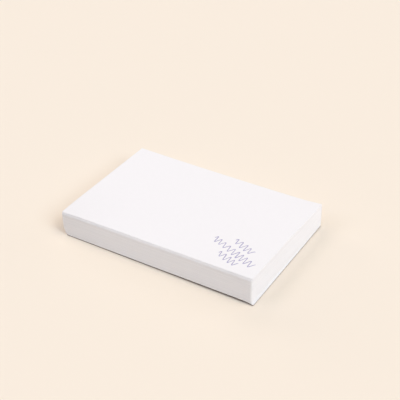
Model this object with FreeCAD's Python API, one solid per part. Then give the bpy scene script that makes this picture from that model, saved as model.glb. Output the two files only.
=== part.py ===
import FreeCAD, Part
import os

# A glued drawing pad: a stack of plain leaves on a card back, held along one long edge by a skin
# of padding compound, as a print shop makes it.
#
# Millimetres, +Z up.  The pad lies face up on its card back.  The origin is the middle of the
# underside, +X runs along the long edges and +Y points at the glued edge, so the free long edge
# is at the front.

# Leaves: half-letter drawing paper, cut in one stack.
SHEET_WIDTH = 215.9
SHEET_DEPTH = 139.7
SHEET_THICKNESS = 0.125
SHEET_COUNT = 200

# Card back, cut together with the leaves.
BOARD_THICKNESS = 0.6

# Padding compound, brushed on the clamped edge: an even skin that thins to a lip along the
# card and along the top leaf, where the brush runs off.
FILM_THICKNESS = 0.4
FILM_LIP = 0.15
FILM_MARGIN = 2.5

# The clamp leaves the glued edge tight.  Towards the free edge the leaves spring apart, more
# at the right-hand corner, which is the one that a thumb lifts.
RISE_LEFT = 1.7
RISE_RIGHT = 4.5

# Places where the top leaves stand apart at the free edge: how many leaves lie above each
# parting, how wide it opens at the left and right ends, and how far in it reaches.
LEAVES_ABOVE_PARTING = [5, 10, 16, 30]
PARTING_LEFT = 0.28
PARTING_RIGHT = 0.12
PARTING_REACH = 38.0

# Handling has rounded the two free corners of the pad, through the leaves and the card.
CORNER_RADIUS = 1.5

PRESSED_HEIGHT = SHEET_COUNT * SHEET_THICKNESS
BOARD_TOP = BOARD_THICKNESS
GLUED_TOP = BOARD_TOP + PRESSED_HEIGHT
LEFT = -SHEET_WIDTH / 2
RIGHT = SHEET_WIDTH / 2
FRONT = -(SHEET_DEPTH + FILM_THICKNESS) / 2
SPINE = FRONT + SHEET_DEPTH


def rise_at(x):
    """How far the free edge stands above the glued edge, in a straight line from left to right."""
    share = (x - LEFT) / SHEET_WIDTH
    return RISE_LEFT + share * (RISE_RIGHT - RISE_LEFT)


def leaf_height(x, y, leaves_below):
    """Height of a leaf that has so many leaves below it.

    All leaves leave the glued edge level.  A leaf rises in a parabola that comes level again at
    the free edge, and its share of the whole rise is its share of the stack.
    """
    away = (SPINE - y) / SHEET_DEPTH
    stack_share = leaves_below / SHEET_COUNT
    rise = rise_at(x) * (2 * away - away * away)
    return BOARD_TOP + stack_share * (PRESSED_HEIGHT + rise)


def point(x, y, z):
    return FreeCAD.Vector(x, y, z)


def leaf_curve(x, y_from, y_to, leaves_below, opening=0.0):
    """Edge along a leaf at one x, as a Bezier curve: three poles give the parabola exactly.

    An opening lifts the leaf off the one below, from nothing at the start to that at the end.
    """
    y_mid = (y_from + y_to) / 2
    z_from = leaf_height(x, y_from, leaves_below)
    z_mid = leaf_height(x, y_mid, leaves_below)
    z_to = leaf_height(x, y_to, leaves_below)
    z_pole = 2 * z_mid - (z_from + z_to) / 2
    curve = Part.BezierCurve()
    curve.setPoles([point(x, y_from, z_from),
                    point(x, y_mid, z_pole + opening / 2),
                    point(x, y_to, z_to + opening)])
    return curve.toShape()


def line(start, end):
    return Part.LineSegment(start, end).toShape()


def parting_edges(x, leaves_above, opening):
    """The two edges of one parting: in along the raised leaf, out along the one below it."""
    leaves_below = SHEET_COUNT - leaves_above
    tip_y = FRONT + PARTING_REACH
    raised = leaf_curve(x, tip_y, FRONT, leaves_below, opening)
    resting = leaf_curve(x, tip_y, FRONT, leaves_below)
    return raised, resting


def block_section(x, opening):
    """Side outline of the stack of leaves at one x.

    It runs along the base and up the glued edge, forward over the top leaf, and down the free
    edge, going in and out of each parting on the way.
    """
    foot = point(x, FRONT, BOARD_TOP)
    heel = point(x, SPINE, BOARD_TOP)
    top = leaf_curve(x, SPINE, FRONT, SHEET_COUNT)
    edges = [line(foot, heel), line(heel, top.Vertexes[0].Point), top]
    reached = top.Vertexes[-1].Point
    for leaves_above in LEAVES_ABOVE_PARTING:
        raised, resting = parting_edges(x, leaves_above, opening)
        edges.append(line(reached, raised.Vertexes[-1].Point))
        edges.append(raised)
        edges.append(resting)
        reached = resting.Vertexes[-1].Point
    edges.append(line(reached, foot))
    return Part.Wire(edges)


def sheet_prism(height):
    """The outline of a sheet, its free corners rounded, raised from the floor to a height."""
    prism = Part.makeBox(SHEET_WIDTH, SHEET_DEPTH, height, point(LEFT, FRONT, 0))
    upright = [edge for edge in prism.Edges if edge.BoundBox.ZLength > height / 2]
    free = [edge for edge in upright if edge.BoundBox.YMax < (FRONT + SPINE) / 2]
    return prism.makeFillet(CORNER_RADIUS, free)


def page_block():
    """All the leaves as one solid: tight at the glued edge, sprung and parted at the free one."""
    left_end = block_section(LEFT, PARTING_LEFT)
    right_end = block_section(RIGHT, PARTING_RIGHT)
    square_block = Part.makeLoft([left_end, right_end], True, True)
    past_the_top = GLUED_TOP + max(RISE_LEFT, RISE_RIGHT) + 1
    return square_block.common(sheet_prism(past_the_top))


def backing_board():
    """Card back, flush with the leaves on all four sides."""
    return sheet_prism(BOARD_THICKNESS)


def binding_film():
    """Dried padding compound: flat where it grips leaves and card, with both margins thinned."""
    outer = SPINE + FILM_THICKNESS
    lip = SPINE + FILM_LIP
    corners = [
        point(LEFT, SPINE, 0),
        point(LEFT, lip, 0),
        point(LEFT, outer, FILM_MARGIN),
        point(LEFT, outer, GLUED_TOP - FILM_MARGIN),
        point(LEFT, lip, GLUED_TOP),
        point(LEFT, SPINE, GLUED_TOP),
    ]
    outline = Part.makePolygon(corners + corners[:1])
    return Part.Face(outline).extrude(point(SHEET_WIDTH, 0, 0))


PIECES = {
    "page_block": page_block,
    "backing_board": backing_board,
    "binding_film": binding_film,
}

os.makedirs("parts", exist_ok=True)
for name, make in PIECES.items():
    shape = make()
    shape.exportStep("parts/" + name + ".step")
    box = shape.BoundBox
    print(name, "solids", len(shape.Solids), "valid", shape.isValid(), "volume", round(shape.Volume, 1),
          "box", [round(v, 3) for v in (box.XMin, box.YMin, box.ZMin, box.XMax, box.YMax, box.ZMax)])
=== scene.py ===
import math

import bpy
import numpy as np
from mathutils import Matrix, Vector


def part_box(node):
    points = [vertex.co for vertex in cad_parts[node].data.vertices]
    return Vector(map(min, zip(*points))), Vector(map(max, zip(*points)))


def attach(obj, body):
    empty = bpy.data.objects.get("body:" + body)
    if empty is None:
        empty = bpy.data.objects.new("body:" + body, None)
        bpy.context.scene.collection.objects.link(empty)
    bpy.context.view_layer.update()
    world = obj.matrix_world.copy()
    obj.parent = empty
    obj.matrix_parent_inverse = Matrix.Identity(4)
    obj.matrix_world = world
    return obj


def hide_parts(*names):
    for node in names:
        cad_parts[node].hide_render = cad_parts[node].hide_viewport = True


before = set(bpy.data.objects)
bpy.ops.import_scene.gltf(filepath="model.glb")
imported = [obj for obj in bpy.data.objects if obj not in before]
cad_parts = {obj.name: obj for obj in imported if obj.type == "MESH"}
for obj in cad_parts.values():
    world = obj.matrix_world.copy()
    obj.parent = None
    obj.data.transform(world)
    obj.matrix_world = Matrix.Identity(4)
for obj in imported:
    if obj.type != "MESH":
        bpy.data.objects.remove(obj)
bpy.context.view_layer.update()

# ------------------------------------------------------------------------------------------
# Leaves.  A stack of uncoated white drawing paper, cut through in one stroke.  Clamped tight at
# the glued edge, the leaves have sprung apart towards the free one and slipped on the card, and
# handling has drawn back the top ones, blunted the corners and knocked in the near left foot.
# ------------------------------------------------------------------------------------------
MM = 0.001

# The count of leaves, how much of a leaf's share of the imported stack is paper, the radius of the
# two blunted corners, and how close to a corner of the solid a point counts as being there.
LEAF_COUNT = 200
PAPER_SHARE = 0.97
CORNER = 1.5 * MM
NEAR_A_CORNER = 0.5 * MM

# The cut edges: how far they wander up the stack, differ leaf by leaf and wave along a leaf.
CUT_WANDER = 0.05 * MM
LEAF_JITTER = 0.014 * MM
EDGE_WAVE = 0.022 * MM

# The top leaves, drawn back from the free edge: how many, how far the first of them, how much
# that grows over them all, and how much one differs from the next.
HANDLED_LEAVES = 16
HANDLED_BACK = 0.10 * MM
HANDLED_SLOPE = 1.2 * MM
HANDLED_JITTER = 0.05 * MM

# Partings at the free edge: the leaves above each, its share of their air, how much air there is
# in all at either end, how far in it reaches, how deep the slits are, and the share of that depth
# that is left where they are shut.
LEAVES_ABOVE_PARTING = np.array([5, 10, 16, 30, 58, 97, 141])
PARTING_SHARE = np.array([0.2, 0.2, 0.5, 0.7, 0.5, 0.4, 0.4])
PARTED_LEFT = 0.16 * MM
PARTED_RIGHT = 0.12 * MM
PARTING_REACH = 38 * MM
PARTING_INSET = 1.0 * MM
SHUT_INSET = 0.04

# The top leaves lift at the far right corner, and the very top one cockles.
FRAYED_LEAVES = 16
FRAY = 1.0 * MM
FRAY_ALONG = 15 * MM
COCKLE = 0.06 * MM

# The card's free edge and its far right corner stand off the floor, and the glued edge sags by
# so much from its ends to its middle, this share of it below a straight line.
BOARD_LIFT = 1.8 * MM
BACK_LIFT = 0.6 * MM
SAG = 0.9 * MM
SAG_BELOW = 0.6

# How far the stack has slipped left on the card, all but the lowest leaves, which cling to it.
SLIP_GLUED = 0.05 * MM
SLIP_FREE = 1.7 * MM
OVERHANG = 0.9 * MM
CLINGING_LEAVES = 14

# The near left corner: pressed down, and knocked in at its foot.
PRESSED = 0.8 * MM
PRESS_SPREAD = 14 * MM
KNOCK = 2.5 * MM
KNOCKED_LEAVES = 62
KNOCK_SPREAD = 9 * MM

# Tones run from 0, dark, to 1, pale: a leaf's face, how much paler the cut edges are painted
# towards the glue, as painted light, and how much darker they are painted round each free corner,
# as painted shade, and how far that spreads.
MIDDLE_TONE = 0.5
PAINTED_LIGHT_AT_GLUE = 0.45
PAINTED_SHADE_LEFT = 0.5
PAINTED_SHADE_RIGHT = 0.12
PAINTED_SHADE_SPREAD = 45 * MM

# The paper's colour in the thin and the full clouds of the sheet, what the darkest and the palest
# tone multiply it by, and how deep its tooth is.
PAPER_THIN = (0.892, 0.868, 0.877, 1)
PAPER_FULL = (0.914, 0.890, 0.899, 1)
TONE_SHADES = (0.955, 1.045)
TOOTH_DEPTH = 0.02 * MM

# The mesh: stations over a blunted corner as shares of it, steps between the corners, the turn
# past which an edge stays sharp, the rings that a leaf has places for, and the flat map's margin
# and the width of half of it between margins.
CORNER_STATIONS = np.array([0.0, 0.35, 0.7])
STEPS_ACROSS = 54
STEPS_DEEP = 34
TURN_OF_AN_EDGE = math.radians(25)
PLACES_A_LEAF = 4
MAP_MARGIN = 0.01
HALF_MAP = 0.5 - 2 * MAP_MARGIN

stack_low, stack_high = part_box("page_block")
WIDTH = stack_high.x - stack_low.x
DEPTH = stack_high.y - stack_low.y
SPINE = stack_high.y
dice = np.random.default_rng(41)


def stack_top(x, y):
    """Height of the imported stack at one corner: the highest of the points nearest to it."""
    spots = np.array([v.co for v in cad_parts["page_block"].data.vertices])
    far = np.hypot(spots[:, 0] - x, spots[:, 1] - y)
    return spots[far < far.min() + NEAR_A_CORNER, 2].max()


GLUED_TOP = stack_top(stack_low.x, stack_high.y)
RISE_LEFT = stack_top(stack_low.x, stack_low.y) - GLUED_TOP
RISE_RIGHT = stack_top(stack_high.x, stack_low.y) - GLUED_TOP
LEAF = (GLUED_TOP - stack_low.z) / LEAF_COUNT

leaf_numbers = np.arange(LEAF_COUNT)
even_air = leaf_numbers / (LEAF_COUNT - 1)
partings = LEAF_COUNT - LEAVES_ABOVE_PARTING
parting_air = (leaf_numbers[:, None] >= partings) @ (PARTING_SHARE / PARTING_SHARE.sum())
up_the_handled = (leaf_numbers - (LEAF_COUNT - HANDLED_LEAVES)) / HANDLED_LEAVES
handled = (up_the_handled >= 0) * 1.0
wander = np.cumsum(dice.normal(0, 1, LEAF_COUNT))
wander -= np.linspace(wander[0], wander[-1], LEAF_COUNT)
drawn_back = CUT_WANDER * wander / np.abs(wander).max() + dice.normal(0, LEAF_JITTER, LEAF_COUNT)
drawn_back += handled * (HANDLED_BACK + HANDLED_SLOPE * up_the_handled)
drawn_back += handled * dice.normal(0, HANDLED_JITTER, LEAF_COUNT)
drawn_back += EDGE_WAVE - drawn_back.min()
swung = dice.normal(0, LEAF_JITTER, LEAF_COUNT)
wave_count = dice.uniform(1.0, 4.0, LEAF_COUNT)
wave_start = dice.uniform(0, 2 * np.pi, LEAF_COUNT)
leaf_tone = dice.uniform(0, 1, LEAF_COUNT)
slipped = np.clip(leaf_numbers / CLINGING_LEAVES, 0, 1)
swung = (swung - swung.min()) * slipped


def board_lift(across, away):
    """How far the card stands off the floor, because its free edge and its far right corner
    curl up.

    The free edge has the full lift times the tenth power of the share away from the glue, so
    most of the card lies flat, times the share across to the power 1.2, so it rises to the right,
    and times one minus the 60th power of that share, so it comes down again at the right corner.
    The far corner has its own lift times the 12th power of the share across and the fourth power
    of the share towards the glue.
    """
    free_edge = BOARD_LIFT * across**1.2 * (1 - across**60) * away**10
    return free_edge + BACK_LIFT * across**12 * (1 - away) ** 4


def spine_sag(across):
    """How far the top of the glued edge stands off a straight line: the sag times a parabola of
    the share across, up at both ends and down in the middle.
    """
    return SAG * ((2 * across - 1) ** 2 - SAG_BELOW)


def knocked(across, away, height_share):
    """How far a knock has pushed the near left corner to the right: most at the floor, nothing
    at the share of the height where the knocked leaves end, and a bell curve round the corner.
    """
    from_corner = np.hypot(across * WIDTH, (1 - away) * DEPTH) / KNOCK_SPREAD
    return KNOCK * np.clip(1 - height_share, 0, 1) * np.exp(-from_corner**2)


def cockled(across, away):
    """How far the top leaf stands off flat: the cockle times two sine waves, one of 5 radians
    across and one of 7 radians from the glue to the free edge, which slants by 2 radians.
    """
    return COCKLE * np.sin(5 * across + 1) * np.sin(7 * away + 2 * across)


def blunted(across, away):
    """The same places with the corners of the free edge rounded.

    In each such corner's square, p and q run from 0 on its inner sides to 1 on its outer ones.
    The larger of them becomes a radius, and the smaller over the larger an angle, so that rings
    of the square become arcs about its inner corner.
    """
    p = np.clip(1 - np.minimum(across, 1 - across) * WIDTH / CORNER, 0, 1)
    q = np.clip(1 - (1 - away) * DEPTH / CORNER, 0, 1)
    radius = np.maximum(p, q)
    angle = np.pi / 4 * np.minimum(p, q) / np.maximum(radius, 1e-6)
    p_round = radius * np.where(p >= q, np.cos(angle), np.sin(angle))
    q_round = radius * np.where(p >= q, np.sin(angle), np.cos(angle))
    across = across + np.sign(0.5 - across) * (p - p_round) * CORNER / WIDTH
    return across, away - (q - q_round) * CORNER / DEPTH


def leaf_place(across, away, leaf, upper, inset):
    """Points on the lower or upper face of a leaf, as an array of x, y, z.

    across runs from 0 at the left to 1 at the right, away from 0 at the glued edge to 1 at the
    free edge.  x and y are the leaf's own rectangle, drawn in by the inset, and swung and drawn
    back in proportion to away, because the glue holds one side.  The slip draws in the right
    side in proportion to away, the overhang puts out the left side by the cube of away, and the
    knock pushes in the foot of the near left corner.  z is the card, the leaves below at the
    paper's thickness, and the air between them: the sprung rise is a parabola of away that is
    level at the free edge, less a bell curve where the near left corner is pressed down.  Every
    leaf has an even share of it, but for what the partings take, which falls to nothing with the
    square of the way in.  Lift, sag and fray bend the stack at the card, the glued edge and the
    far right corner.
    """
    across, away = blunted(across, away)
    reach = np.clip(1 - (1 - away) * DEPTH / PARTING_REACH, 0, 1) ** 2
    drawn_in = inset * (SHUT_INSET + (1 - SHUT_INSET) * reach)
    wave = EDGE_WAVE * np.sin(wave_start[leaf] + 2 * np.pi * wave_count[leaf] * (across + away))
    slip = (SLIP_GLUED + (SLIP_FREE - SLIP_GLUED) * away) * slipped[leaf]
    overhang = OVERHANG * away**3 * (1 - across) * slipped[leaf]
    sideways = swung[leaf] * away - slip * across - overhang
    sideways = sideways + knocked(across, away, leaf / KNOCKED_LEAVES)
    x = stack_low.x + WIDTH * across + drawn_in * (1 - 2 * across) + sideways
    y = SPINE - DEPTH * away - drawn_in * (1 - 2 * away) + (drawn_back[leaf] + wave) * away
    rise = (RISE_LEFT + (RISE_RIGHT - RISE_LEFT) * across) * (2 * away - away**2)
    from_near_corner = np.hypot(across * WIDTH, (1 - away) * DEPTH) / PRESS_SPREAD
    rise = rise - PRESSED * np.exp(-from_near_corner**2)
    parted = (PARTED_LEFT + (PARTED_RIGHT - PARTED_LEFT) * across) * reach
    air = (rise - parted) * even_air[leaf] + parted * parting_air[leaf]
    lift = board_lift(across, away) * (1 - even_air[leaf])
    sag = spine_sag(across) * (1 - away) ** 2 * even_air[leaf]
    from_corner = np.hypot((1 - across) * WIDTH, away * DEPTH) / FRAY_ALONG
    fray = FRAY * np.exp(-from_corner**2) * (leaf >= LEAF_COUNT - FRAYED_LEAVES)
    top_face = (leaf == LEAF_COUNT - 1) & (upper == 1)
    cockle = top_face * cockled(across, away)
    z = stack_low.z + (leaf + PAPER_SHARE * upper) * LEAF + air + lift + sag + fray + cockle
    return np.stack(np.broadcast_arrays(x, y, z), axis=-1)


def side_stations(length, steps):
    """Shares along a side of a leaf: close together over the blunted corners, then even."""
    close = CORNER / length * CORNER_STATIONS
    even = np.linspace(CORNER / length, 1 - CORNER / length, steps + 1)
    return np.concatenate([close, even, 1 - close[::-1]])


def rim(wide, deep):
    """Stations round a leaf: the free edge to the right, the right side back to the glue, the
    glued edge to the left, and the left side forward.  Each side stops one short of its corner.
    """
    across = np.concatenate([wide[:-1], 1 + 0 * deep[1:], wide[:0:-1], 0 * deep[1:]])
    away = np.concatenate([1 + 0 * wide[1:], deep[:0:-1], 0 * wide[1:], deep[:-1]])
    return across, away


def lid_numbers(count_across, count_deep, first_of_ring, first_inside):
    """Vertex numbers of a lid, glued edge first: its border is a ring in the rim's order."""
    numbers = np.empty((count_deep + 1, count_across + 1), int)
    ring = first_of_ring + np.arange(2 * (count_across + count_deep))
    right, back, left = count_across, count_across + count_deep, 2 * count_across + count_deep
    numbers[-1, :-1] = ring[:right]
    numbers[:0:-1, -1] = ring[right:back]
    numbers[0, :0:-1] = ring[back:left]
    numbers[:-1, 0] = ring[left:]
    inside = np.arange((count_deep - 1) * (count_across - 1))
    numbers[1:-1, 1:-1] = (first_inside + inside).reshape(count_deep - 1, -1)
    return numbers


def grid_quads(numbers):
    """Four-sided faces of a grid of vertex numbers, row by row."""
    corners = [numbers[:-1, :-1], numbers[1:, :-1], numbers[1:, 1:], numbers[:-1, 1:]]
    return np.stack(corners, axis=-1).reshape(-1, 4)


def new_object(name, data):
    """An object at the origin, linked to the scene."""
    made = bpy.data.objects.new(name, data)
    bpy.context.scene.collection.objects.link(made)
    return made


def mesh_of_quads(name, points, quads, unfolded):
    """A smooth-shaded mesh object of four-sided faces, with an edge kept sharp where it turns.

    unfolded gives each face corner its place on a flat map of the surface.
    """
    mesh = bpy.data.meshes.new(name)
    mesh.vertices.add(len(points))
    mesh.vertices.foreach_set("co", points.ravel())
    mesh.loops.add(quads.size)
    mesh.loops.foreach_set("vertex_index", quads.ravel())
    mesh.polygons.add(len(quads))
    mesh.polygons.foreach_set("loop_start", np.arange(0, quads.size, 4))
    mesh.update(calc_edges=True)
    mesh.polygons.foreach_set("use_smooth", np.ones(len(quads), bool))
    mesh.set_sharp_from_angle(angle=TURN_OF_AN_EDGE)
    mesh.uv_layers.new(name="OFBake").uv.foreach_set("vector", unfolded.ravel())
    return new_object(name, mesh)


def slab(name, place, row_count, steps_across, steps_deep):
    """A closed slab of stacked rings, from the underside up, with a lid at each end.

    place(across, away, row) gives the points of a row; the lids are the first and the last row
    carried over the whole rectangle.  The flat map has the wall above and the lids below.
    Returns the piece and each vertex's row.
    """
    wide = side_stations(WIDTH, steps_across)
    deep = side_stations(DEPTH, steps_deep)
    across, away = rim(wide, deep)
    wall = place(across, away, np.arange(row_count)[:, None])
    steps = len(wide) - 1, len(deep) - 1
    deep, wide = np.meshgrid(deep, wide, indexing="ij")
    lids = [place(wide, deep, np.full(wide.shape, row)) for row in (0, row_count - 1)]
    insides = [lid[1:-1, 1:-1].reshape(-1, 3) for lid in lids]
    ring = len(across)
    numbers = np.arange(row_count * ring).reshape(row_count, ring)
    round_again = np.concatenate([numbers, numbers[:, :1]], axis=1)
    low = lid_numbers(*steps, 0, numbers.size)
    high = lid_numbers(*steps, numbers[-1, 0], numbers.size + len(insides[0]))
    quads = np.concatenate([grid_quads(round_again)[:, ::-1],
                            grid_quads(low)[:, ::-1],
                            grid_quads(high)])
    up_wall = np.linalg.norm(np.diff(wall, axis=0), axis=-1).mean(axis=1).cumsum()
    up_wall = np.concatenate([[0], up_wall]) / up_wall[-1]
    round_map = np.linspace(MAP_MARGIN, 1 - MAP_MARGIN, ring + 1)
    wall_map = np.stack(np.meshgrid(round_map, 0.5 + MAP_MARGIN + HALF_MAP * up_wall), axis=-1)
    lid_map = np.stack([MAP_MARGIN + HALF_MAP * wide, 0.5 - MAP_MARGIN - HALF_MAP * deep], axis=-1)
    as_numbers = np.arange(wall_map[..., 0].size).reshape(wall_map.shape[:2])
    lid_quads = grid_quads(np.arange(deep.size).reshape(deep.shape))
    unfolded = np.concatenate([wall_map.reshape(-1, 2)[grid_quads(as_numbers)[:, ::-1]],
                               lid_map.reshape(-1, 2)[lid_quads[:, ::-1]],
                               lid_map.reshape(-1, 2)[lid_quads] + [0.5, 0]])
    points = np.concatenate([wall.reshape(-1, 3), *insides])
    rows = np.concatenate([np.repeat(np.arange(row_count), ring),
                           np.full(len(insides[0]), 0),
                           np.full(len(insides[1]), row_count - 1)])
    return mesh_of_quads(name, points, quads, unfolded), rows


# Each leaf has a ring round its lower face and one round its upper face.  Each parting adds two
# rings further in, one above the resting leaf and one below the raised one, as a slit.  So a
# leaf has places for four rings, in this order from the floor up.
resting = partings - 1
face_leaf = np.repeat(leaf_numbers, 2)
face_upper = np.tile([0, 1], LEAF_COUNT)
row_leaf = np.concatenate([face_leaf, resting, partings])
row_upper = np.concatenate([face_upper, np.ones_like(resting), np.zeros_like(partings)])
row_inset = np.repeat([0, PARTING_INSET], [len(face_leaf), 2 * len(partings)])
row_order = np.concatenate([PLACES_A_LEAF * face_leaf + face_upper,
                            PLACES_A_LEAF * resting + 2,
                            PLACES_A_LEAF * resting + 3]).argsort()
row_leaf, row_upper, row_inset = row_leaf[row_order], row_upper[row_order], row_inset[row_order]


def leaf_row(across, away, row):
    """Points of one of those rings, or of a whole leaf face for the lids."""
    return leaf_place(across, away, row_leaf[row], row_upper[row], row_inset[row])


leaves, leaves_rows = slab("leaves", leaf_row, len(row_leaf), STEPS_ACROSS, STEPS_DEEP)

# Each cut edge has a tone of its own. On top of it is painted light, paler by the square of the
# nearness to the glue, and painted shade, darker in a bell curve round each free corner, which half
# shows on the top leaf too.
on_a_lid = np.isin(leaves_rows, [0, len(row_leaf) - 1])
spots = np.array([v.co for v in leaves.data.vertices])
near_glue = ((spots[:, 1] - stack_low.y) / DEPTH) ** 2
from_left = np.hypot(spots[:, 0] - stack_low.x, spots[:, 1] - stack_low.y) / PAINTED_SHADE_SPREAD
from_right = np.hypot(spots[:, 0] - stack_high.x, spots[:, 1] - stack_low.y) / PAINTED_SHADE_SPREAD
corner_painted_shade = PAINTED_SHADE_LEFT * np.exp(-from_left**2) + PAINTED_SHADE_RIGHT * np.exp(-from_right**2)
cut_tone_and_painted_light = leaf_tone[row_leaf[leaves_rows]] + PAINTED_LIGHT_AT_GLUE * near_glue - corner_painted_shade
tone = leaves.data.attributes.new("cut_tone_and_painted_light", "FLOAT", "POINT")
tone.data.foreach_set("value", np.where(on_a_lid, MIDDLE_TONE - corner_painted_shade / 2, cut_tone_and_painted_light))


def new_group(name, inputs, outputs):
    """An empty shader node group with float or vector inputs and float outputs."""
    group = bpy.data.node_groups.new(name, "ShaderNodeTree")
    for label, kind, value in inputs:
        socket = group.interface.new_socket(label, in_out="INPUT", socket_type=kind)
        if value is not None:
            socket.default_value = value
    for label in outputs:
        group.interface.new_socket(label, in_out="OUTPUT", socket_type="NodeSocketFloat")
    return group


def make_fibre_group():
    """Pulp: a cloudy mass with short fibres lying in it every way.

    Cloud is slow noise.  Fibre is 1 on thin lines where a stretched noise crosses its middle.
    """
    group = new_group("pulp", [("Vector", "NodeSocketVector", None),
                               ("Cloud Scale", "NodeSocketFloat", 400.0),
                               ("Fibre Scale", "NodeSocketFloat", 900.0)], ["Cloud", "Fibre"])
    nodes, links = group.nodes, group.links
    come_in = nodes.new("NodeGroupInput")
    go_out = nodes.new("NodeGroupOutput")
    cloud = nodes.new("ShaderNodeTexNoise")
    cloud.inputs["Detail"].default_value = 3.0
    links.new(come_in.outputs["Vector"], cloud.inputs["Vector"])
    links.new(come_in.outputs["Cloud Scale"], cloud.inputs["Scale"])
    links.new(cloud.outputs["Fac"], go_out.inputs["Cloud"])
    line = nodes.new("ShaderNodeTexNoise")
    line.inputs["Detail"].default_value = 1.0
    line.inputs["Distortion"].default_value = 1.5
    links.new(come_in.outputs["Vector"], line.inputs["Vector"])
    links.new(come_in.outputs["Fibre Scale"], line.inputs["Scale"])
    from_middle = nodes.new("ShaderNodeMath")
    from_middle.operation = "COMPARE"
    from_middle.inputs[1].default_value = 0.5
    from_middle.inputs[2].default_value = 0.012
    links.new(line.outputs["Fac"], from_middle.inputs[0])
    links.new(from_middle.outputs["Value"], go_out.inputs["Fibre"])
    return group


pulp = make_fibre_group()


def add_pulp(nodes, links, cloud_scale, fibre_scale):
    """The pulp group on a piece's own coordinates, at two scales per metre."""
    where = nodes.new("ShaderNodeTexCoord")
    node = nodes.new("ShaderNodeGroup")
    node.node_tree = pulp
    node.inputs["Cloud Scale"].default_value = cloud_scale
    node.inputs["Fibre Scale"].default_value = fibre_scale
    links.new(where.outputs["Object"], node.inputs["Vector"])
    return node


def mixed(nodes, links, share, low, high):
    """A colour between two, by a value from 0 to 1."""
    mix = nodes.new("ShaderNodeMix")
    mix.data_type = "RGBA"
    for socket, colour in ((mix.inputs["A"], low), (mix.inputs["B"], high)):
        if isinstance(colour, bpy.types.NodeSocket):
            links.new(colour, socket)
        else:
            socket.default_value = colour
    links.new(share, mix.inputs["Factor"])
    return mix.outputs["Result"]


def remapped(nodes, links, value, taken, given, clamp=True):
    """A value carried in a straight line from one range to another, and kept inside if clamped."""
    line = nodes.new("ShaderNodeMapRange")
    line.clamp = clamp
    for label, end in zip(("From Min", "From Max", "To Min", "To Max"), taken + given):
        line.inputs[label].default_value = end
    links.new(value, line.inputs["Value"])
    return line.outputs["Result"]


def bumped(nodes, links, height, strength, distance, onto=None):
    """A surface normal for a height of 0 to 1 times a distance, on top of another if given."""
    bump = nodes.new("ShaderNodeBump")
    bump.inputs["Strength"].default_value = strength
    bump.inputs["Distance"].default_value = distance
    links.new(height, bump.inputs["Height"])
    if onto is not None:
        links.new(onto, bump.inputs["Normal"])
    return bump.outputs["Normal"]


def new_material(name, roughness, shine):
    """A plain material of one roughness and shine, with its nodes, links and shader."""
    material = bpy.data.materials.new(name)
    material.use_nodes = True
    nodes, links = material.node_tree.nodes, material.node_tree.links
    shader = nodes["Principled BSDF"]
    shader.inputs["Roughness"].default_value = roughness
    shader.inputs["Specular IOR Level"].default_value = shine
    return material, nodes, links, shader


def paper_material():
    """Uncoated white paper: cloudy in the sheet, toothed to the touch, and each cut edge its own
    shade, as the sheets of a ream are. The shade follows the tone in a straight line, and the tone
    also carries painted light towards the glue and painted shade round the free corners.
    """
    material, nodes, links, shader = new_material("drawing_paper", 0.92, 0.2)
    fibres = add_pulp(nodes, links, 260.0, 1400.0)
    sheet = mixed(nodes, links, fibres.outputs["Cloud"], PAPER_THIN, PAPER_FULL)
    edge = nodes.new("ShaderNodeAttribute")
    edge.attribute_name = "cut_tone_and_painted_light"
    shade = remapped(nodes, links, edge.outputs["Fac"], (0.0, 1.0), TONE_SHADES, clamp=False)
    toned = nodes.new("ShaderNodeVectorMath")
    toned.operation = "SCALE"
    links.new(sheet, toned.inputs[0])
    links.new(shade, toned.inputs["Scale"])
    links.new(toned.outputs["Vector"], shader.inputs["Base Color"])
    tooth = bumped(nodes, links, fibres.outputs["Fibre"], 0.35, TOOTH_DEPTH)
    links.new(tooth, shader.inputs["Normal"])
    return material


leaves.data.materials.append(paper_material())
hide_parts("page_block")
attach(leaves, "root")

# ------------------------------------------------------------------------------------------
# Card back. One sheet of thin brown recycled board, cut flush with the leaves by a knife that
# rounds its arrises and leaves its edge rough. Its colour is partly the board's own brown and
# partly painted shade: it is made nearly black so that its edge carries the contact shadow along
# the base. Its free edge bows a little off the floor, its far right corner curls up, and its near
# left corner is knocked in with the leaves'.
# ------------------------------------------------------------------------------------------
card_low, card_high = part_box("backing_board")
CARD = card_high.z - card_low.z
CARD_STEPS_ACROSS = 120
CARD_STEPS_DEEP = 76

# The arris, how rough the cut is, the radians that its roughness runs through along each side and
# from ring to ring, and the rings' insets and heights.
ARRIS = 0.07 * MM
BURR = 0.03 * MM
BURRS_ACROSS = 91
BURRS_DEEP = 57
BURR_SHIFT = 2
CARD_INSETS = np.array([1.0, 0.0, 0.0, 1.0]) * ARRIS
CARD_HEIGHTS = np.array([0.0, 0.14, 0.86, 1.0]) * CARD

# The colours of the pulp, a brown darkened with painted shade for the contact shadow along the
# base, and of the scraps in it, and how rough its face is.
BOARD_DARK_AND_SHADE = (0.066, 0.025, 0.005, 1)
BOARD_BROWN_AND_SHADE = (0.120, 0.050, 0.011, 1)
BOARD_SCRAP = (0.28, 0.17, 0.09, 1)
BOARD_ROUGH = 0.06 * MM


def card_row(across, away, row):
    """Points of one ring of the card: an arris, two rings of the rough cut and an arris.

    The roughness is the square of a sine wave of the way round, out of step ring by ring.
    """
    across, away = blunted(across, away)
    burrs = np.sin(BURRS_ACROSS * across + BURRS_DEEP * away + BURR_SHIFT * row) ** 2
    inset = CARD_INSETS[row] + BURR * burrs
    x = card_low.x + WIDTH * across + inset * (1 - 2 * across) + knocked(across, away, 0)
    y = SPINE - DEPTH * away - inset * (1 - 2 * away)
    z = card_low.z + CARD_HEIGHTS[row] + board_lift(across, away)
    return np.stack(np.broadcast_arrays(x, y, z), axis=-1)


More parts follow.
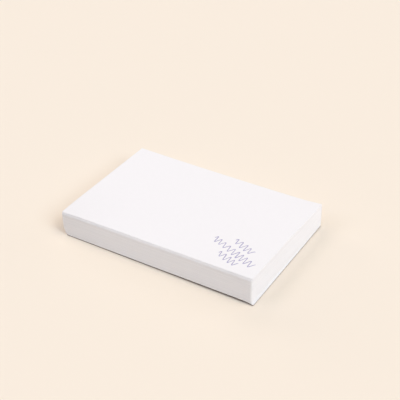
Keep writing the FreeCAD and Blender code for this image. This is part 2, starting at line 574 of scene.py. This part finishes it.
def board_material_with_painted_shade():
    """Recycled board: brown pulp darkened with painted shade for the contact shadow along the base,
    with paler scraps of fibre in it, matt all over.
    """
    material, nodes, links, shader = new_material("recycled_board_with_painted_shade", 0.95, 0.15)
    fibres = add_pulp(nodes, links, 180.0, 420.0)
    mass = mixed(nodes, links, fibres.outputs["Cloud"], BOARD_DARK_AND_SHADE, BOARD_BROWN_AND_SHADE)
    flecked = mixed(nodes, links, fibres.outputs["Fibre"], mass, BOARD_SCRAP)
    links.new(flecked, shader.inputs["Base Color"])
    rough = bumped(nodes, links, fibres.outputs["Cloud"], 0.5, BOARD_ROUGH)
    links.new(rough, shader.inputs["Normal"])
    return material


card_back, _ = slab("card_back", card_row, len(CARD_HEIGHTS), CARD_STEPS_ACROSS, CARD_STEPS_DEEP)
card_back.data.materials.append(board_material_with_painted_shade())
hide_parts("backing_board")
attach(card_back, "root")

# ------------------------------------------------------------------------------------------
# Glue skin.  Padding compound is brushed along the clamped edge and dries to a soft white
# skin.  It keeps the long streaks of the brush, is fullest at mid height, and thins to a lip
# at the top leaf and at the card.
# ------------------------------------------------------------------------------------------
glue_low, glue_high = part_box("binding_film")
GLUE = glue_high.y - glue_low.y
GLUE_STATIONS = 150
GLUE_ROWS = 34
ENDS_MAP = 0.1

# The lip's share of the full thickness, the share that the streaks take, the radians that each
# kind of streak runs through, the broad ones' part of them, and how far they drift, in radians.
GLUE_LIP = 0.3
GLUE_STREAKS = 0.2
BROAD_STREAKS = 46
FINE_STREAKS = 97
BROAD_SHARE = 0.6
SLOW_DRIFT = 0.7
QUICK_DRIFT = 0.4

# The skin's colours where it is thin and where it is thick, the same where cut edges show
# through it, how rough it is, and the brush marks' and the edges' scales and depths.
SKIN_COLOURS = (0.83, 0.81, 0.78, 1), (0.90, 0.885, 0.86, 1)
THROUGH_COLOURS = (0.78, 0.76, 0.725, 1), (0.88, 0.865, 0.84, 1)
SKIN_ROUGHNESS = 0.55, 0.34
BRUSH_SCALE = (9, 1, 420)
EDGES_SCALE = (5, 1, 4200)
BRUSH_DEPTH = 0.05 * MM
EDGES_DEPTH = 0.02 * MM


def glue_points(across, up):
    """Outer face of the skin: across runs 0 to 1 to the right, up 0 to 1 from card to top leaf.

    Its thickness is a dome of up, as flat-topped as a sixth power, less a share for the streaks:
    a broad and a fine sine wave of up, whose places drift along the edge in a slow and a quicker
    wave.  Its top follows the sag of the glued edge, and its bottom the lift of the card.
    """
    dome = GLUE_LIP + (1 - GLUE_LIP) * (1 - (2 * up - 1) ** 6)
    drift = SLOW_DRIFT * np.sin(4 * across) + QUICK_DRIFT * np.sin(11 * across + 1)
    broad = np.sin(BROAD_STREAKS * up + drift)
    fine = np.sin(FINE_STREAKS * up - 2 * drift + 6 * across)
    streaks = BROAD_SHARE * broad + (1 - BROAD_SHARE) * fine
    thick = GLUE * dome * (1 - GLUE_STREAKS * (0.5 + 0.5 * streaks))
    x = glue_low.x + (glue_high.x - glue_low.x) * across
    top = glue_high.z + spine_sag(across)
    bottom = glue_low.z + board_lift(across, 0)
    z = bottom + (top - bottom) * up
    return np.stack(np.broadcast_arrays(x, SPINE + thick, z), axis=-1)


def glue_skin_piece():
    """The skin as a closed tube: its outer face, and a flat inner face against the leaves.

    The flat map has the tube above and its two ends side by side below.
    """
    across = np.linspace(0, 1, GLUE_STATIONS)
    up = np.linspace(0, 1, GLUE_ROWS)[:, None]
    outer = glue_points(across, up)
    inner = outer[::-1].copy()
    inner[..., 1] = SPINE
    rings = np.concatenate([outer, inner])
    numbers = np.arange(rings[..., 0].size).reshape(rings.shape[:2])
    grids = [np.concatenate([numbers, numbers[:1]])]
    along_map = MAP_MARGIN + (1 - 2 * MAP_MARGIN) * across
    round_map = np.linspace(ENDS_MAP + MAP_MARGIN, 1 - MAP_MARGIN, len(rings) + 1)
    maps = [np.stack(np.meshgrid(along_map, round_map), axis=-1)]
    strip_sides = [MAP_MARGIN, ENDS_MAP - MAP_MARGIN]
    for column, start in ((0, MAP_MARGIN), (-1, 0.5 + MAP_MARGIN)):
        strip = np.stack([numbers[:GLUE_ROWS, column], numbers[:GLUE_ROWS - 1:-1, column]], axis=1)
        strip_map = np.stack(np.broadcast_arrays(start + HALF_MAP * up, strip_sides), axis=-1)
        flip = 1 if column else -1
        grids.append(strip[:, ::flip])
        maps.append(strip_map[:, ::flip])
    quads = np.concatenate([grid_quads(grid) for grid in grids])
    cells = [grid_quads(np.arange(grid.size).reshape(grid.shape)) for grid in grids]
    unfolded = np.concatenate([flat.reshape(-1, 2)[cell] for flat, cell in zip(maps, cells)])
    return mesh_of_quads("glue_skin", rings.reshape(-1, 3), quads, unfolded)


def compound_material():
    """Dried white padding compound: a soft low shine, a shade warmer than the paper.

    Long streaks of noise follow the brush, and lie thick and pale or thin and dull.  Much finer
    ones are the cut edges of the leaves, which show faintly through the skin.
    """
    material, nodes, links, shader = new_material("dried_compound", 0.5, 0.5)
    where = nodes.new("ShaderNodeTexCoord")
    streaks = []
    for per_metre, detail in ((BRUSH_SCALE, 4.0), (EDGES_SCALE, 1.0)):
        stretched = nodes.new("ShaderNodeMapping")
        stretched.inputs["Scale"].default_value = per_metre
        links.new(where.outputs["Object"], stretched.inputs["Vector"])
        noise = nodes.new("ShaderNodeTexNoise")
        noise.inputs["Scale"].default_value = 1.0
        noise.inputs["Detail"].default_value = detail
        links.new(stretched.outputs["Vector"], noise.inputs["Vector"])
        streaks.append(remapped(nodes, links, noise.outputs["Fac"], (0.3, 0.7), (0.0, 1.0)))
    brushed, edges = streaks
    skin = mixed(nodes, links, brushed, *SKIN_COLOURS)
    through = mixed(nodes, links, brushed, *THROUGH_COLOURS)
    links.new(mixed(nodes, links, edges, through, skin), shader.inputs["Base Color"])
    gloss = remapped(nodes, links, brushed, (0.0, 1.0), SKIN_ROUGHNESS)
    links.new(gloss, shader.inputs["Roughness"])
    streaked = bumped(nodes, links, brushed, 0.7, BRUSH_DEPTH)
    ribbed = bumped(nodes, links, edges, 0.7, EDGES_DEPTH, streaked)
    links.new(ribbed, shader.inputs["Normal"])
    return material


glue_skin = glue_skin_piece()
glue_skin.data.materials.append(compound_material())
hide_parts("binding_film")
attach(glue_skin, "root")

# ------------------------------------------------------------------------------------------
# Pen strokes.  Three tilted rows of plain hand-drawn squiggles, printed in lavender ink in the
# near right corner of the top leaf: they stand for no letters.
# ------------------------------------------------------------------------------------------
STROKE_HALF_WIDTH = 0.42 * MM
STROKE_HALF_DEPTH = 0.02 * MM
STROKE_STATIONS = 300
ROUND_STROKE = 8
INK_DEEP = (0.36, 0.33, 0.51, 1)
INK_PALE = (0.46, 0.43, 0.61, 1)

# A stroke leans back as it rises, its waves are uneven and swell, and the points of its zigzag
# are blunted.  The pen presses in a slow and a quick wave, and the ends taper by so much.
STROKE_LEAN = 0.12
STROKE_UNEVEN = 0.012
STROKE_SWELL = 0.14
ZIGZAG_BLUNT = 0.985
SLOW_PRESS = 0.12
QUICK_PRESS = 0.06
TIP_SHARE = 0.98

# For each row, in millimetres: where its middle is from the right and free edges of the leaf
# before it slipped, its length, and the half height of its wave.  Then how many waves it has, how
# pointed they are, from 0 to 1, and its tilt in degrees.
STROKE_ROWS = [
    (30.3, 37.9, 26.5, 3.9, 4.3, 0.35, -23.2),
    (35.0, 26.2, 57.0, 4.1, 9.2, 0.35, -21.6),
    (34.7, 14.6, 25.0, 3.7, 4.2, 0.25, -19.2),
]


def stroke_line(length, half_height, waves, pointed, tilt):
    """Centre line of one squiggle about its middle, and its share of the way along.

    It is a slightly uneven wave whose height swells and shrinks a little, blended between a sine
    and a zigzag with blunted points, leaning back a little as it rises, and turned by the tilt.
    """
    share = np.linspace(0, 1, STROKE_STATIONS)
    turn = 2 * np.pi * waves * (share + STROKE_UNEVEN * np.sin(9 * share))
    zigzag = np.arcsin(ZIGZAG_BLUNT * np.sin(turn)) * 2 / np.pi
    up = half_height * ((1 - pointed) * np.sin(turn) + pointed * zigzag)
    up = up * (1 + STROKE_SWELL * np.sin(7 * share + waves))
    along = length * (share - 0.5) - STROKE_LEAN * up
    tilt = math.radians(tilt)
    dx = along * math.cos(tilt) - up * math.sin(tilt)
    dy = along * math.sin(tilt) + up * math.cos(tilt)
    return share, dx, dy


def on_the_top_leaf(x, y):
    """Points of the top leaf's face, for places measured on the leaf before it slipped."""
    across = (x - stack_low.x) / WIDTH
    away = (SPINE - y) / DEPTH
    last = np.full(np.shape(x), LEAF_COUNT - 1)
    return leaf_place(across, away, last, np.ones_like(last), 0.0)


def stroke_parts(from_right, from_front, length, half_height, waves, pointed, tilt):
    """Points and faces of one squiggle: a flattened tube, half sunk in the leaf.

    It is a little wider and narrower with the press of the pen, a slow wave and a quick one, and
    within a half width of each end its width falls away as a quarter of a circle.
    """
    share, dx, dy = stroke_line(length * MM, half_height * MM, waves, pointed, tilt)
    x = stack_high.x - from_right * MM + dx
    y = stack_low.y + from_front * MM + dy
    gone = np.hypot(np.gradient(x), np.gradient(y)).cumsum()
    gone -= gone[0]
    from_end = np.minimum(gone, gone[-1] - gone) / STROKE_HALF_WIDTH
    taper = np.sqrt(1 - np.clip(1 - from_end, 0, TIP_SHARE) ** 2)
    heading = np.arctan2(np.gradient(y), np.gradient(x))[:, None]
    press = 1 + SLOW_PRESS * np.sin(23 * share) + QUICK_PRESS * np.sin(61 * share)
    half = (STROKE_HALF_WIDTH * taper * press)[:, None]
    angle = np.arange(ROUND_STROKE) / ROUND_STROKE * 2 * np.pi
    px = x[:, None] - np.sin(heading) * half * np.cos(angle)
    py = y[:, None] + np.cos(heading) * half * np.cos(angle)
    points = on_the_top_leaf(px, py)
    points[..., 2] += STROKE_HALF_DEPTH * np.sin(angle) * taper[:, None]
    points = points.reshape(-1, 3)
    numbers = np.arange(len(points)).reshape(STROKE_STATIONS, ROUND_STROKE)
    quads = grid_quads(np.concatenate([numbers, numbers[:, :1]], axis=1))[:, ::-1]
    return points, quads.tolist() + [numbers[0, ::-1].tolist(), numbers[-1].tolist()]


def ink_material():
    """Lavender printing ink, sunk into the paper, a little uneven where the tooth kept it off."""
    material, nodes, links, shader = new_material("lavender_ink", 0.8, 0.2)
    fibres = add_pulp(nodes, links, 700.0, 1400.0)
    colour = mixed(nodes, links, fibres.outputs["Cloud"], INK_DEEP, INK_PALE)
    links.new(colour, shader.inputs["Base Color"])
    return material


stroke_points, stroke_faces = [], []
for row in STROKE_ROWS:
    points, faces = stroke_parts(*row)
    first = sum(len(p) for p in stroke_points)
    stroke_faces += [[first + number for number in face] for face in faces]
    stroke_points.append(points)
stroke_mesh = bpy.data.meshes.new("pen_strokes")
stroke_mesh.from_pydata(np.concatenate(stroke_points).tolist(), [], stroke_faces)
pen_strokes = new_object("pen_strokes", stroke_mesh)
pen_strokes.data.materials.append(ink_material())
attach(pen_strokes, "root")

# ------------------------------------------------------------------------------------------
# Studio.  A plain peach floor under soft, even light: a pale sky all round, and wide lamps, the
# strongest on the right, so that the top and the right side are bright and the front less.
# ------------------------------------------------------------------------------------------
FLOOR_SIZE = 40.0
FLOOR_PEACH = (0.906, 0.810, 0.700, 1)
SKY_COLOUR = (0.94, 0.98, 1.0, 1)
SKY_STRENGTH = 0.291
BACKDROP = (0.955, 0.847, 0.737, 1)
LAMP_SPREAD = 30
WARM = (1.0, 0.88, 0.76)
ROSE = (1.0, 0.88, 0.88)
LILAC = (0.87, 0.88, 1.0)
COOL = (0.75, 0.88, 1.0)

floor_mesh = bpy.data.meshes.new("floor")
half = FLOOR_SIZE / 2
floor_mesh.from_pydata([(-half, -half, 0), (half, -half, 0), (half, half, 0), (-half, half, 0)], [],
                       [(0, 1, 2, 3)])
floor = new_object("floor", floor_mesh)
floor_paint, _, _, floor_shader = new_material("floor_peach", 1.0, 0.0)
floor_shader.inputs["Base Color"].default_value = FLOOR_PEACH
floor.data.materials.append(floor_paint)

# The sky lights the pad evenly.  Seen over the end of the floor it is a plain backdrop instead,
# as pale as the lit floor.
sky = bpy.data.worlds.new("soft_sky")
sky.use_nodes = True
sky_nodes, sky_links = sky.node_tree.nodes, sky.node_tree.links
sky_light = sky_nodes["Background"]
sky_light.inputs["Color"].default_value = SKY_COLOUR
sky_light.inputs["Strength"].default_value = SKY_STRENGTH
backdrop = sky_nodes.new("ShaderNodeBackground")
backdrop.inputs["Color"].default_value = BACKDROP
seen = sky_nodes.new("ShaderNodeLightPath")
either = sky_nodes.new("ShaderNodeMixShader")
sky_links.new(seen.outputs["Is Camera Ray"], either.inputs["Fac"])
sky_links.new(sky_light.outputs["Background"], either.inputs[1])
sky_links.new(backdrop.outputs["Background"], either.inputs[2])
sky_links.new(either.outputs["Shader"], sky_nodes["World Output"].inputs["Surface"])
bpy.context.scene.world = sky


def soft_lamp(name, azimuth, elevation, strength, colour):
    """A far wide lamp. Azimuth 0 is the pad's right and 90 its glued edge, in degrees.

    Its strength is the light it throws on a surface that faces it, over pi.
    """
    lamp = bpy.data.lights.new(name, "SUN")
    lamp.energy = strength * math.pi
    lamp.color = colour
    lamp.angle = math.radians(LAMP_SPREAD)
    holder = new_object(name, lamp)
    holder.rotation_euler = (0, math.radians(90 - elevation), math.radians(azimuth))


soft_lamp("lamp_right", -15, 40, 0.431, COOL)
soft_lamp("lamp_right_high", 15, 60, 0.270, WARM)
soft_lamp("lamp_right_low", 45, 20, 0.073, LILAC)
soft_lamp("lamp_back", 135, 40, 0.109, ROSE)
soft_lamp("lamp_left_low", 165, 20, 0.149, WARM)
soft_lamp("lamp_left_high", 195, 60, 0.126, WARM)
soft_lamp("lamp_front", 225, 40, 0.157, LILAC)

# The camera looks down on the near right corner, through a short telephoto lens.
VIEW_AZIMUTH = math.radians(32.51)
VIEW_ELEVATION = math.radians(34.96)
VIEW_ROLL = math.radians(-1.50)
VIEW_DISTANCE = 0.9862
LOOKED_AT = np.array([-0.0214, 0.0485, 0.0])
LENS_IN_MM = 84.51
SENSOR_IN_MM = 36.0

ahead = np.array([-math.sin(VIEW_AZIMUTH) * math.cos(VIEW_ELEVATION),
                  math.cos(VIEW_AZIMUTH) * math.cos(VIEW_ELEVATION),
                  -math.sin(VIEW_ELEVATION)])
level = np.array([math.cos(VIEW_AZIMUTH), math.sin(VIEW_AZIMUTH), 0.0])
upright = np.cross(level, ahead)
camera_right = math.cos(VIEW_ROLL) * level + math.sin(VIEW_ROLL) * upright
camera_up = np.cross(camera_right, ahead)
placed = np.eye(4)
placed[:3, 0], placed[:3, 1], placed[:3, 2] = camera_right, camera_up, -ahead
placed[:3, 3] = LOOKED_AT - VIEW_DISTANCE * ahead
lens = bpy.data.cameras.new("camera")
lens.lens = LENS_IN_MM
lens.sensor_width = SENSOR_IN_MM
camera = new_object("camera", lens)
camera.matrix_world = placed.T.tolist()
bpy.context.scene.camera = camera
bpy.context.scene.view_settings.view_transform = "Standard"
